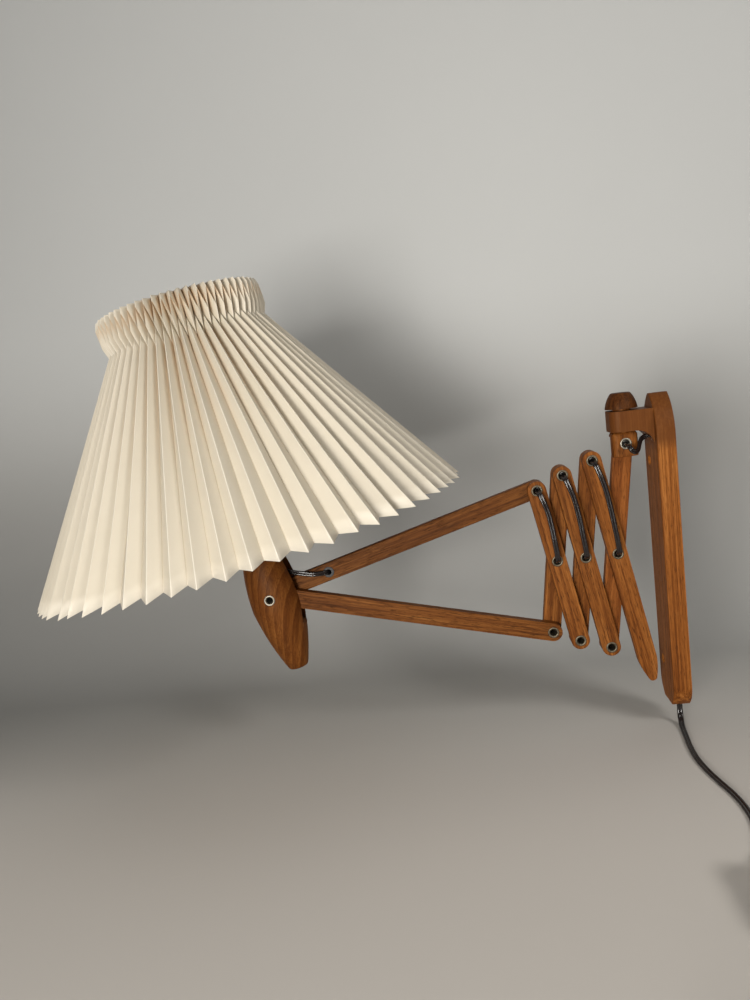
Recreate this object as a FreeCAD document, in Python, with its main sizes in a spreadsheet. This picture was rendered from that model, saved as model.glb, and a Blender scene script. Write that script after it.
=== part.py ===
import FreeCAD, Part
import Sketcher
import math
import os

# Accordion (scissor) wall lamp in oiled wood with a pleated shade.
# Frame: the wall is the plane y = 0, -Y points into the room, +Z is up, +X is the side of the front arms.
# The origin is the middle of the wall plate's back face. Millimetres.

V = FreeCAD.Vector
doc = FreeCAD.newDocument("AccordionWallLamp")
sheet = doc.addObject("Spreadsheet::Sheet", "Params")

CELLS = [
    # wall plate with its lug
    ("plate_width", 38.0), ("plate_height", 250.0), ("plate_thick", 14.0), ("lug_width", 26.0), ("lug_reach", 45.5),
    ("lug_top", 114.3), ("lug_under", 98.5), ("lug_fillet", 13.0), ("lug_corner", 7.0),
    ("screw_side", -7.0), ("screw_up", 72.0), ("screw_down", -92.0), ("screw_radius", 2.25), ("head_radius", 4.5),
    ("channel_side", 6.0), ("channel_width", 6.4), ("channel_depth", 10.0), ("cable_hole_up", 92.8), ("cable_hole_radius", 2.9),
    # swivel
    ("pin_out", 34.5), ("pin_radius", 6.75), ("pin_play", 0.08), ("pin_top", 124.0), ("block_depth", 20.0), ("block_wide", 16.0),
    ("block_low", 78.8), ("block_high", 98.2), ("knob_low", 115.8), ("knob_high", 128.0), ("knob_radius", 12.3), ("knob_crown", 6.6),
    # linkage
    ("pivot_up", 89.0), ("arm_thick", 7.35), ("arm_width", 14.6), ("arm_gap", 0.15),
    ("first_long", 87.0), ("cell_one", 77.0), ("cell_two", 68.5), ("kite_short", 59.0), ("long_arm", 230.0), ("tip_long", 109.0),
    ("lean_back", 7.93), ("lean_front", 10.82), ("bore_radius", 2.95), ("eye_radius", 6.3), ("lobe_radius", 8.6), ("lead_hole", 180.7), ("arm_edge", 0.8), ("plate_edge", 1.2),
    # tubular rivets
    ("barrel_radius", 2.87), ("barrel_inner", 2.45), ("flange_radius", 4.5), ("flange_thick", 0.45),
    # cable along the linkage
    ("cable_radius", 2.1), ("cable_back", 11.5), ("cable_front", 12.4),
    # lamp head
    ("head_lean", 10.48), ("holder_low", -65.0), ("holder_high", 47.0), ("holder_foot", 8.5), ("holder_belly", 22.0),
    ("holder_crown", 13.4), ("slot_half", 7.85), ("slot_back", 12.7), ("slot_up", 33.0),
    ("nipple_radius", 4.95), ("nipple_bore", 3.4), ("socket_radius", 19.5), ("bulb_radius", 30.0),
    # shade
    ("rim_radius", 175.0), ("rim_level", 52.0), ("neck_radius", 63.4), ("neck_level", 219.0), ("collar_radius", 68.4),
    ("collar_level", 234.0), ("top_radius", 64.8), ("top_level", 246.5), ("shade_wall", 1.2), ("gather_radius", 56.0),
    ("carrier_wire", 1.5), ("carrier_ring", 57.0),
    # supply cord
    ("cord_radius", 2.3), ("floor_level", -142.3), ("coil_mid", 25.2), ("coil_layers", 3.0),
]
for row, (alias, number) in enumerate(CELLS, start=1):
    sheet.set("A%d" % row, alias)
    sheet.set("B%d" % row, repr(number))
    sheet.setAlias("B%d" % row, alias)
doc.recompute()


class Dim:
    """A length with both its value and the expression on the sheet that gives it."""

    def __init__(self, value, text):
        self.value = float(value)
        self.text = text

    @staticmethod
    def of(other):
        return other if isinstance(other, Dim) else Dim(other, repr(float(other)))

    def __add__(self, o):
        o = Dim.of(o)
        return Dim(self.value + o.value, "(%s + %s)" % (self.text, o.text))

    def __sub__(self, o):
        o = Dim.of(o)
        return Dim(self.value - o.value, "(%s - %s)" % (self.text, o.text))

    def __rsub__(self, o):
        return Dim.of(o) - self

    def __mul__(self, o):
        o = Dim.of(o)
        return Dim(self.value * o.value, "(%s * %s)" % (self.text, o.text))

    def __truediv__(self, o):
        o = Dim.of(o)
        return Dim(self.value / o.value, "(%s / %s)" % (self.text, o.text))

    def __neg__(self):
        return Dim(-self.value, "(0 - %s)" % self.text)

    __radd__ = __add__
    __rmul__ = __mul__


NUMBERS = dict(CELLS)


def D(alias):
    return Dim(float(sheet.get(alias)), "Params." + alias)


def N(alias):
    return float(sheet.get(alias))


def bind(obj, prop, dim):
    dim = Dim.of(dim)
    obj.setExpression(prop, dim.text)


def body(label):
    made = doc.addObject("PartDesign::Body", label)
    made.Label = label
    return made


def plane_of(owner, role):
    for feature in owner.Origin.OriginFeatures:
        if feature.Role == role:
            return feature
    raise RuntimeError("no plane " + role)


def sketch(owner, name, role, offset=None):
    made = owner.newObject("Sketcher::SketchObject", name)
    made.AttachmentSupport = [(plane_of(owner, role), "")]
    made.MapMode = "FlatFace"
    if offset is not None:
        offset = Dim.of(offset)
        made.AttachmentOffset = FreeCAD.Placement(V(0, 0, offset.value), FreeCAD.Rotation())
        made.setExpression("AttachmentOffset.Base.z", offset.text)
    return made


def hold(sk, geo, pos, kind, dim):
    dim = Dim.of(dim)
    if abs(dim.value) < 1e-9:
        sk.addConstraint(Sketcher.Constraint("PointOnObject", geo, pos, -2 if kind == "DistanceX" else -1))
    else:
        index = sk.addConstraint(Sketcher.Constraint(kind, -1, 1, geo, pos, dim.value))
        if "Params" in dim.text:
            sk.setExpression("Constraints[%d]" % index, dim.text)


def fix_point(sk, geo, pos, x, y):
    hold(sk, geo, pos, "DistanceX", x)
    hold(sk, geo, pos, "DistanceY", y)


def outline(sk, corners):
    """A closed outline. Each corner is (x, y) or (x, y, (mid_x, mid_y)), where the arc to the next corner passes mid."""
    ids = []
    count = len(corners)
    for i, corner in enumerate(corners):
        following = corners[(i + 1) % count]
        a = V(Dim.of(corner[0]).value, Dim.of(corner[1]).value, 0)
        b = V(Dim.of(following[0]).value, Dim.of(following[1]).value, 0)
        if len(corner) > 2:
            mid = V(Dim.of(corner[2][0]).value, Dim.of(corner[2][1]).value, 0)
            arc = Part.Arc(a, mid, b)
            ids.append(sk.addGeometry(arc, False))
        else:
            ids.append(sk.addGeometry(Part.LineSegment(a, b), False))
    # an arc of a circle always runs counter-clockwise, so its ends may be swapped
    ends = []
    for i, geo in enumerate(ids):
        a = V(Dim.of(corners[i][0]).value, Dim.of(corners[i][1]).value, 0)
        start = sk.getPoint(geo, 1)
        ends.append((1, 2) if start.sub(a).Length < 1e-4 else (2, 1))
    for i, geo in enumerate(ids):
        nxt = (i + 1) % count
        sk.addConstraint(Sketcher.Constraint("Coincident", geo, ends[i][1], ids[nxt], ends[nxt][0]))
    for i, geo in enumerate(ids):
        fix_point(sk, geo, ends[i][0], corners[i][0], corners[i][1])
    # the middle of an arc is held along the direction in which it could still slide, and moves with the arc's first corner
    for i, geo in enumerate(ids):
        if len(corners[i]) > 2:
            x, y = Dim.of(corners[i][0]), Dim.of(corners[i][1])
            nxt = corners[(i + 1) % count]
            chord = V(Dim.of(nxt[0]).value - x.value, Dim.of(nxt[1]).value - y.value, 0)
            centre = sk.Geometry[geo].Center
            if abs(chord.x) > abs(chord.y):
                hold(sk, geo, 3, "DistanceY", y + (centre.y - y.value))
            else:
                hold(sk, geo, 3, "DistanceX", x + (centre.x - x.value))
    return ids


def ring_hole(sk, x, y, radius):
    x, y, radius = Dim.of(x), Dim.of(y), Dim.of(radius)
    geo = sk.addGeometry(Part.Circle(V(x.value, y.value, 0), V(0, 0, 1), radius.value), False)
    fix_point(sk, geo, 3, x, y)
    index = sk.addConstraint(Sketcher.Constraint("Radius", geo, radius.value))
    if "Params" in radius.text:
        sk.setExpression("Constraints[%d]" % index, radius.text)
    return geo


def pad(owner, name, sk, length):
    made = owner.newObject("PartDesign::Pad", name)
    made.Profile = sk
    made.Length = Dim.of(length).value
    bind(made, "Length", length)
    sk.Visibility = False
    return made


def turn(owner, name, sk, axis="V_Axis"):
    made = owner.newObject("PartDesign::Revolution", name)
    made.Profile = sk
    made.ReferenceAxis = (sk, [axis])
    made.Angle = 360.0
    return made


def bored(owner, name, radius, height, at, direction=V(0, 0, 1)):
    made = owner.newObject("PartDesign::SubtractiveCylinder", name)
    made.Placement = FreeCAD.Placement(at, FreeCAD.Rotation(V(0, 0, 1), direction))
    bind(made, "Radius", radius)
    bind(made, "Height", height)
    return made


def milled(owner, name, size, at):
    made = owner.newObject("PartDesign::SubtractiveBox", name)
    made.Placement = FreeCAD.Placement(at, FreeCAD.Rotation())
    for prop, dim in zip(("Length", "Width", "Height"), size):
        bind(made, prop, dim)
    return made


def rounded(owner, name, base, radius, pick, kind="PartDesign::Fillet"):
    doc.recompute()
    names = ["Edge%d" % (i + 1) for i, e in enumerate(base.Shape.Edges) if pick(e)]
    if not names:
        raise RuntimeError("no edge to round: " + name)
    made = owner.newObject(kind, name)
    made.Base = (base, names)
    bind(made, "Radius" if kind.endswith("Fillet") else "Size", radius)
    return made


def feature(label, shape, placement=None):
    made = doc.addObject("Part::Feature", label)
    made.Label = label
    made.Shape = shape
    if placement is not None:
        made.Placement = placement
    return made


PIECES = []


def piece(obj):
    PIECES.append(obj)
    return obj


# ---------------------------------------------------------------- linkage geometry at rest
def out(outward, up, x=0.0):
    return V(x, -outward, up)


lean_a, lean_b = math.radians(N("lean_back")), math.radians(N("lean_front"))
down_a = (math.sin(lean_a), -math.cos(lean_a))
down_b = (-math.sin(lean_b), -math.cos(lean_b))


def along(point, direction, distance):
    return (point[0] + direction[0] * distance, point[1] + direction[1] * distance)


P0 = (N("pin_out"), N("pivot_up"))
M1 = along(P0, down_a, N("first_long"))
Q1 = along(M1, down_a, N("cell_one"))
T1 = along(M1, down_b, -N("cell_one"))
M2 = along(T1, down_a, N("cell_one"))
Q2 = along(M2, down_a, N("cell_two"))
T2 = along(M2, down_b, -N("cell_two"))
M3 = along(T2, down_a, N("cell_two"))
Q3 = along(M3, down_a, N("kite_short"))
T3 = along(M3, down_b, -N("kite_short"))
half = math.pi / 2 - (lean_a + lean_b) / 2
gamma = math.asin(N("kite_short") / N("long_arm") * math.sin(half))
kite = (lean_a - lean_b) / 2
upper_dir = (math.cos(kite - gamma), math.sin(kite - gamma))
lower_dir = (math.cos(kite + gamma), math.sin(kite + gamma))
E = along(T3, upper_dir, N("long_arm"))
H = along(T3, upper_dir, N("lead_hole"))


def hang(point, direction):
    """Placement of an arm that is drawn hanging straight down from its upper pivot."""
    angle = math.degrees(math.atan2(-direction[0], -direction[1]))
    return FreeCAD.Placement(out(*point), FreeCAD.Rotation(V(1, 0, 0), angle))


# ---------------------------------------------------------------- wall plate and lug, one block of wood
plate = body("wall_plate")
sk = sketch(plate, "PlateOutline", "XZ_Plane")
w, hh = D("plate_width") / 2, D("plate_height") / 2
outline(sk, [
    (2.6, hh, (12.9, hh - 10.6)), (w, hh - 30),
    (w, -hh + 20, (16.6, -hh + 8.2)), (9.5, -hh),
    (-9.5, -hh, (-16.6, -hh + 8.2)), (-w, -hh + 20),
    (-w, hh - 30, (-12.9, hh - 10.6)), (-2.6, hh),
])
ring_hole(sk, D("screw_side"), D("screw_up"), D("screw_radius"))
ring_hole(sk, D("screw_side"), D("screw_down"), D("screw_radius"))
slab = pad(plate, "PlatePad", sk, D("plate_thick"))
sk = sketch(plate, "LugSide", "YZ_Plane", -(D("lug_width") / 2))
t, f = D("plate_thick"), D("lug_fillet")
c = math.cos(math.pi / 4)
outline(sk, [
    (-5.0, D("lug_top")), (-D("lug_reach"), D("lug_top")), (-D("lug_reach"), D("lug_under")),
    (-t - f, D("lug_under"), (-(t.value + f.value * (1 - c)), N("lug_under") - f.value * (1 - c))),
    (-t, D("lug_under") - f), (-5.0, D("lug_under") - f),
])
lug = pad(plate, "LugPad", sk, D("lug_width"))
nose = rounded(plate, "LugCorners", lug, D("lug_corner"),
               lambda e: abs(e.CenterOfMass.y + N("lug_reach")) < 0.01 and abs(abs(e.CenterOfMass.x) - N("lug_width") / 2) < 0.01
               and e.Length > 10)
bored(plate, "PinHole", D("pin_radius") + D("pin_play"), 30.0, out(N("pin_out"), 92.0))
bored(plate, "CableHole", D("cable_hole_radius"), 26.0, V(N("channel_side"), 1.0, N("cable_hole_up")), V(0, -1, 0))
milled(plate, "CableChannel", (D("channel_width"), D("channel_depth") + 1.0, D("cable_hole_up") + D("plate_height") / 2 + 5.0),
       V(N("channel_side") - N("channel_width") / 2, -N("channel_depth"), -N("plate_height") / 2 - 2.0))
milled(plate, "ClampSeat", (22.0, 2.6, 9.4), V(N("channel_side") - 11.0, -1.6, -109.7))
for k, name in enumerate(("screw_up", "screw_down")):
    sink = plate.newObject("PartDesign::SubtractiveCone", "Countersink%d" % (k + 1))
    sink.Placement = FreeCAD.Placement(V(N("screw_side"), -N("plate_thick") + 2.4, N(name)), FreeCAD.Rotation(V(0, 0, 1), V(0, -1, 0)))
    bind(sink, "Radius1", D("screw_radius"))
    bind(sink, "Radius2", D("head_radius"))
    bind(sink, "Height", 2.5)
for k, side in enumerate((-7.4, 7.4)):
    bored(plate, "ClampPilot%d" % (k + 1), 1.0, 9.0, V(N("channel_side") + side, 0.5, -105.0), V(0, -1, 0))
last = [o for o in plate.Group if o.isDerivedFrom("PartDesign::Feature")][-1]
soft = rounded(plate, "PlateEdges", last, D("plate_edge"),
               lambda e: abs(e.CenterOfMass.y + N("plate_thick")) < 0.01 and abs(e.BoundBox.YLength) < 0.01 and not e.isClosed()
               and (abs(e.CenterOfMass.x) > N("lug_width") / 2 + 1.0 or e.CenterOfMass.z < 0 or e.CenterOfMass.z > N("lug_top") + 0.5))
piece(plate)

# saddle that grips the flex at the foot of the channel, with its two screws
clamp = body("cord_clamp")
sk = sketch(clamp, "SaddleOutline", "XZ_Plane", 0.35)
outline(sk, [(-10.6, -4.2), (10.6, -4.2), (10.6, 4.2), (-10.6, 4.2)])
ring_hole(sk, -7.4, 0, 1.4)
ring_hole(sk, 7.4, 0, 1.4)
pad(clamp, "SaddlePad", sk, 1.2)
sk = sketch(clamp, "PressOutline", "XZ_Plane", 1.4)
outline(sk, [(-2.7, -3.8), (2.7, -3.8), (2.7, 3.8), (-2.7, 3.8)])
pad(clamp, "PressPad", sk, 3.3)
clamp.Placement = FreeCAD.Placement(V(N("channel_side"), 0, -105.0), FreeCAD.Rotation())
piece(clamp)

screws = []
for k, side in enumerate((-7.4, 7.4)):
    head = doc.addObject("Part::Cylinder", "ClampHead%d" % k)
    head.Radius, head.Height = 2.6, 0.33
    shank = doc.addObject("Part::Cylinder", "ClampShank%d" % k)
    shank.Radius, shank.Height = 0.98, 7.5
    for part in (head, shank):
        part.Placement = FreeCAD.Placement(V(N("channel_side") + side, 0, -105.0), FreeCAD.Rotation(V(0, 0, 1), V(0, -1, 0)))
    both = doc.addObject("Part::Fuse", "ClampScrew%d" % k)
    both.Base, both.Tool = head, shank
    screws.append(both)
pair = doc.addObject("Part::Compound", "cord_clamp_screws")
pair.Label = "cord_clamp_screws"
pair.Links = screws
piece(pair)

# ---------------------------------------------------------------- swivel block with its turned pin, and the knob
block = body("swivel_block")
sk = sketch(block, "BlockPlan", "XY_Plane", D("block_low"))
bx, by = D("block_wide") / 2, D("block_depth") / 2
outline(sk, [(bx, by), (-bx, by), (-bx, -by), (bx, -by)])
stock = pad(block, "BlockPad", sk, D("block_high") - D("block_low"))
edges = rounded(block, "BlockCorners", stock, 4.6,
                lambda e: abs(e.Length - (N("block_high") - N("block_low"))) < 0.01 and abs(abs(e.CenterOfMass.x) - N("block_wide") / 2) < 0.01)
top = rounded(block, "BlockShoulder", edges, 3.2, lambda e: abs(e.CenterOfMass.z - N("block_high")) < 0.01)
sk = sketch(block, "PinPlan", "XY_Plane", D("block_high") - 0.6)
ring_hole(sk, 0, 0, D("pin_radius"))
pad(block, "PinPad", sk, D("pin_top") - D("block_high") + 0.6)
foot = [o for o in block.Group if o.isDerivedFrom("PartDesign::Feature")][-1]
rounded(block, "BlockFoot", foot, 0.8, lambda e: abs(e.CenterOfMass.z - N("block_low")) < 0.01)
milled(block, "HalfLap", (20.0, 30.0, 20.0), V(-20.0 + N("arm_gap"), -15.0, N("pivot_up") + 5.6 - 20.0))
bored(block, "LapRound", 7.75, 12.0, V(-12.0 + N("arm_gap"), 0, N("pivot_up")), V(1, 0, 0))
bored(block, "PivotBore", D("bore_radius"), 30.0, V(-15.0, 0, N("pivot_up")), V(1, 0, 0))
block.Placement = FreeCAD.Placement(out(N("pin_out"), 0), FreeCAD.Rotation())
piece(block)

knob = body("pin_knob")
sk = sketch(knob, "KnobProfile", "XZ_Plane")
k0, k1, kr, kc = D("knob_low"), D("knob_high"), D("knob_radius"), D("knob_crown")
outline(sk, [
    (D("pin_radius") + 0.03, k0), (kr, k0, (10.8, 121.9)), (kc + 0.9, k1 - 0.3), (kc, k1), (0, k1), (0, D("pin_top") + 0.05),
    (D("pin_radius") + 0.03, D("pin_top") + 0.05),
])
turn(knob, "KnobTurned", sk)
knob.Placement = FreeCAD.Placement(out(N("pin_out"), 0), FreeCAD.Rotation())
piece(knob)


# ---------------------------------------------------------------- arms
def arm(label, side, pivots, length, point, direction, end="round", bores=None):
    made = body(label)
    offset = D("arm_gap") if side > 0 else -(D("arm_gap") + D("arm_thick"))
    sk = sketch(made, label + "_outline", "YZ_Plane", offset)
    r = D("arm_width") / 2
    length = Dim.of(length)
    head = (-r, 0, (0, r.value))
    if end == "round":
        corners = [(r, 0), (r, -length, (0, -length.value - r.value)), (-r, -length), head]
    elif end == "tip":
        corners = [(r, 0), (r, -length + 19.0, (r.value - 2.0, -length.value + 8.5)), (2.9, -length + 1.4, (0, -length.value)),
                   (-2.9, -length + 1.4, (-r.value + 2.0, -length.value + 8.5)), (-r, -length + 19.0), head]
    else:
        lobe = N("lobe_radius")
        rise = math.sqrt(lobe ** 2 - r.value ** 2)
        corners = [(r, 0), (r, -length + rise, (0, -length.value - lobe)), (-r, -length + rise), head]
    outline(sk, corners)
    for where, radius in pivots:
        ring_hole(sk, 0, -Dim.of(where) if not isinstance(where, (int, float)) or where else 0, radius)
    stock = pad(made, label + "_pad", sk, D("arm_thick"))
    faces = (offset.value, offset.value + N("arm_thick"))
    if end == "round":
        rounded(made, label + "_edges", stock, D("arm_edge"),
                lambda e: min(abs(e.CenterOfMass.x - f) for f in faces) < 0.01 and not e.isClosed())
    made.Placement = hang(point, direction)
    return piece(made)


R = D("bore_radius")
one, two, short = D("cell_one"), D("cell_two"), D("kite_short")
arm("scissor_arm_back_1", -1, [(0, R), (D("first_long"), R), (D("first_long") + one, R)], D("first_long") + one, P0, down_a)
arm("scissor_arm_front_1", 1, [(0, R), (one, R)], one + D("tip_long"), T1, down_b, end="tip")
arm("scissor_arm_back_2", -1, [(0, R), (one, R), (one + two, R)], one + two, T1, down_a)
arm("scissor_arm_front_2", 1, [(0, R), (two, R), (two + one, R)], two + one, T2, down_b)
arm("scissor_arm_back_3", -1, [(0, R), (two, R), (two + short, R)], two + short, T2, down_a)
arm("scissor_arm_front_3", 1, [(0, R), (short, R), (short + two, R)], short + two, T3, down_b)
arm("long_arm_upper", -1, [(0, R), (D("lead_hole"), R), (D("long_arm"), R)], D("long_arm"), T3, upper_dir)
arm("long_arm_lower", 1, [(0, R), (D("long_arm"), D("eye_radius"))], D("long_arm"), Q3, lower_dir, end="lobe")


# ---------------------------------------------------------------- tubular rivets at the pivots
def rivet(label, point, low, high, closed=False):
    made = body(label)
    sk = sketch(made, label + "_profile", "XZ_Plane")
    ri, rb, rf, tf = D("barrel_inner"), D("barrel_radius"), D("flange_radius"), D("flange_thick")
    low, high = Dim.of(low), Dim.of(high)
    foot = [(low - tf, 0), (low - tf, rf - 0.25)] if closed else [(low - tf, ri), (low - tf, rf - 0.25)]
    bore = [(low + 1.5, ri), (low + 1.5, 0)] if closed else []
    outline(sk, foot + [
        (low - tf + 0.2, rf), (low, rf), (low, rb), (high, rb), (high, rf), (high + tf - 0.2, rf),
        (high + tf, rf - 0.25), (high + tf, ri),
    ] + bore)
    turn(made, label + "_turned", sk, "H_Axis")
    made.Placement = FreeCAD.Placement(out(*point), FreeCAD.Rotation())
    return piece(made)


face = D("arm_gap") + D("arm_thick") + 0.1
rivet("rivet_swivel", P0, -face, D("block_wide") / 2 + 0.1)
for label, point in (("rivet_middle_1", M1), ("rivet_lower_1", Q1), ("rivet_upper_1", T1), ("rivet_middle_2", M2), ("rivet_lower_2", Q2),
                     ("rivet_upper_2", T2), ("rivet_middle_3", M3), ("rivet_lower_3", Q3), ("rivet_upper_3", T3)):
    rivet(label, point, -face, face, "lower" in label)

# short ferrule that leads the flex from the back of the upper long arm to its front
rivet("cable_ferrule", H, -face, Dim.of(-0.05))

# ---------------------------------------------------------------- lamp head, drawn upright on its own axis and then leant outward
lean = FreeCAD.Rotation(V(1, 0, 0), N("head_lean"))
HEAD = FreeCAD.Placement(out(*E), lean)

holder = body("shade_holder")
sk = sketch(holder, "HolderProfile", "XZ_Plane")
lo, hi, foot, belly, crown = D("holder_low"), D("holder_high"), D("holder_foot"), D("holder_belly"), D("holder_crown")
outline(sk, [
    (0, lo), (foot - 0.8, lo), (foot, lo + 0.8, (15.9, -41.0)), (belly - 0.2, -10.0, (21.3, 8.0)), (crown, hi - 1.0), (crown - 1.0, hi), (0, hi),
])
turn(holder, "HolderTurned", sk)
# slot for the two long arms, open towards the wall; its floor slopes so that the lower arm clears it
sk = sketch(holder, "SlotSide", "YZ_Plane", -D("slot_half"))
outline(sk, [
    (-D("slot_back"), D("slot_up")), (-D("slot_back"), -4.0, (-9.6, -9.6)), (-3.0, -13.2), (26.0, -36.0), (26.0, D("slot_up")),
])
slot = holder.newObject("PartDesign::Pocket", "ArmSlot")
slot.Profile = sk
bind(slot, "Length", D("slot_half") * 2)
slot.Reversed = True
bored(holder, "WireBore", D("nipple_radius") + 0.02, 20.0, V(0, 0, N("slot_up") - 1.0))
bored(holder, "RivetBore", D("bore_radius") + 0.0, 60.0, V(-30, 0, 0), V(1, 0, 0))
bored(holder, "FlangeSeatNear", 4.75, 6.0, V(21.3, 0, 0), V(1, 0, 0))
bored(holder, "FlangeSeatFar", 4.75, 6.0, V(-21.3, 0, 0), V(-1, 0, 0))
holder.Placement = HEAD
piece(holder)

made = rivet("rivet_head", E, Dim.of(-21.35), Dim.of(21.35))
made.Placement = HEAD


def turned(label, points, placement=HEAD):
    made = body(label)
    sk = sketch(made, label + "_profile", "XZ_Plane")
    outline(sk, points)
    turn(made, label + "_turned", sk)
    made.Placement = placement
    return piece(made)


nr, nb, sr = D("nipple_radius"), D("nipple_bore"), D("socket_radius")
turned("threaded_nipple", [(nb, hi - 12.0), (nr, hi - 12.0), (nr, hi + 7.6), (nb, hi + 7.6)])
turned("lampholder_cap", [
    (nr + 0.05, hi + 0.3), (14.6, hi + 0.3, (17.2, 50.4)), (sr - 0.6, hi + 9.5), (sr - 0.6, hi + 20.0), (sr - 2.8, hi + 20.0),
    (sr - 2.8, hi + 10.5, (15.6, 53.6)), (13.8, hi + 3.2), (nr + 0.05, hi + 3.2),
])
turned("terminal_block", [(0, hi + 8.2), (14.4, hi + 8.2), (14.4, hi + 23.0), (5.2, hi + 23.0), (5.2, hi + 24.6), (0, hi + 24.6)])
turned("centre_contact", [(0, hi + 24.75), (4.2, hi + 24.75), (4.2, hi + 25.6), (2.0, hi + 27.0), (0, hi + 27.0)])
turned("lampholder_sleeve", [
    (14.6, hi + 20.4), (sr, hi + 20.4), (sr, hi + 33.0), (sr + 2.2, hi + 33.0), (sr + 2.2, hi + 35.0), (sr, hi + 35.0), (sr, hi + 54.0),
    (sr - 0.8, hi + 55.0), (14.6, hi + 55.0),
])
turned("shade_ring", [(sr + 0.3, hi + 38.4), (sr + 4.6, hi + 38.4), (sr + 5.0, hi + 39.0), (sr + 5.0, hi + 44.0), (sr + 0.3, hi + 44.0)])
turned("bulb_cap", [
    (0, hi + 27.2), (4.6, hi + 27.2), (5.0, hi + 29.2), (10.5, hi + 31.0), (13.1, hi + 33.5), (13.1, hi + 54.0), (12.1, hi + 54.0),
    (12.1, hi + 34.0), (0, hi + 32.0),
])
br = N("bulb_radius")
turned("bulb_glass", [
    (11.7, 101.3), (13.0, 101.3, (16.6, 116.4)), (25.3772, 134.0, (29.8492, 153.0)), (2.0, 179.9333), (0, 179.9333), (0, 178.9333),
    (2.0, 178.9310, (28.8444, 153.0)), (24.1867, 134.0, (15.7, 116.6)), (11.7, 102.0),
])

# wire carrier: lower ring clamped by the shade ring, three legs that pass the bulb, and the ring that holds the shade's neck
cw, cr = N("carrier_wire"), N("carrier_ring")
low_z, up_z = N("holder_high") + 36.7, N("neck_level") - 1.7
low_ring = doc.addObject("Part::Torus", "CarrierLowRing")
low_ring.Radius1, low_ring.Radius2 = N("socket_radius") + 2.2, cw
low_ring.Placement = FreeCAD.Placement(V(0, 0, low_z), FreeCAD.Rotation())
top_ring = doc.addObject("Part::Torus", "CarrierTopRing")
bind(top_ring, "Radius1", D("carrier_ring"))
bind(top_ring, "Radius2", D("carrier_wire"))
top_ring.Placement = FreeCAD.Placement(V(0, 0, up_z), FreeCAD.Rotation())
legs = []
for k in range(3):
    a = math.radians(90 + 120 * k)
    foot_at = V((N("socket_radius") + 2.4) * math.cos(a), (N("socket_radius") + 2.4) * math.sin(a), low_z)
    heel_at = V(27.6 * math.cos(a), 27.6 * math.sin(a), low_z)
    knee_at = V(41.0 * math.cos(a), 41.0 * math.sin(a), low_z + 24.0)
    head_at = V(cr * math.cos(a), cr * math.sin(a), up_z)
    for j, (p, q) in enumerate(((foot_at, heel_at), (heel_at, knee_at), (knee_at, head_at))):
        leg = doc.addObject("Part::Cylinder", "CarrierLeg%d_%d" % (k, j))
        leg.Radius = cw
        leg.Height = q.sub(p).Length
        leg.Placement = FreeCAD.Placement(p, FreeCAD.Rotation(V(0, 0, 1), q.sub(p)))
        legs.append(leg)
    for name, at in (("CarrierHeel%d", heel_at), ("CarrierKnee%d", knee_at)):
        ball = doc.addObject("Part::Sphere", name % k)
        ball.Radius = cw
        ball.Placement = FreeCAD.Placement(at, FreeCAD.Rotation())
        legs.append(ball)
carrier = doc.addObject("Part::MultiFuse", "shade_carrier")
carrier.Label = "shade_carrier"
carrier.Shapes = [low_ring, top_ring] + legs
carrier.Placement = HEAD
piece(carrier)

# pleated shade as the thin skin that its outer folds touch, with the gathered flange that lies on the carrier ring
wall = N("shade_wall")
rr, rz, kr_, kz = D("rim_radius"), D("rim_level"), D("neck_radius"), D("neck_level")
turned("pleated_shade", [
    (rr - 1.45, rz), (rr, rz), (kr_, kz), (D("collar_radius"), D("collar_level")), (D("top_radius"), D("top_level")),
    (D("top_radius") - wall, D("top_level")), (D("collar_radius") - wall, D("collar_level")), (kr_ - 0.4, kz + 1.3),
    (D("gather_radius"), kz + 1.3), (D("gather_radius"), kz), (kr_ - 1.5, kz),
])


# ---------------------------------------------------------------- flex: straight runs joined by tangent arcs
REPORT = []


def tube(label, points, radius, caps=None):
    """A round tube along the points. caps gives a smaller radius for the arc at a point, by its index."""
    caps = caps or {}
    edges, start, length, radii = [], points[0], 0.0, []
    for i in range(1, len(points) - 1):
        a, b, c = points[i - 1], points[i], points[i + 1]
        u, v = b.sub(a), c.sub(b)
        run = min(u.Length, v.Length)
        u.normalize()
        v.normalize()
        angle = math.acos(max(-1.0, min(1.0, u.dot(v))))
        bend = 0.45 * run / math.tan(angle / 2)
        if i in caps:
            bend = min(bend, caps[i])
        reach = bend * math.tan(angle / 2)
        inward = v.sub(u)
        inward.normalize()
        centre = b + inward * (bend / math.cos(angle / 2))
        first, middle, second = b - u * reach, centre - inward * bend, b + v * reach
        edges.append(Part.LineSegment(start, first).toShape())
        edges.append(Part.Arc(first, middle, second).toShape())
        length += first.sub(start).Length + bend * angle
        radii.append(round(bend, 1))
        start = second
    edges.append(Part.LineSegment(start, points[-1]).toShape())
    length += points[-1].sub(start).Length
    path = Part.Wire(edges)
    ring = Part.Wire([Part.Circle(points[0], points[1].sub(points[0]), radius).toShape()])
    solid = path.makePipeShell([ring], True, False)
    if not solid.isValid() or solid.ShapeType != "Solid":
        raise RuntimeError("bad tube " + label)
    whole = math.pi * radius ** 2 * length
    if abs(solid.Volume / whole - 1) > 0.02:
        raise RuntimeError("tube %s: volume %.1f, expected %.1f" % (label, solid.Volume, whole))
    REPORT.append("%s: length %.1f mm, bend radii %s" % (label, length, radii))
    return piece(feature(label, solid))


cable = N("cable_radius")


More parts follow.
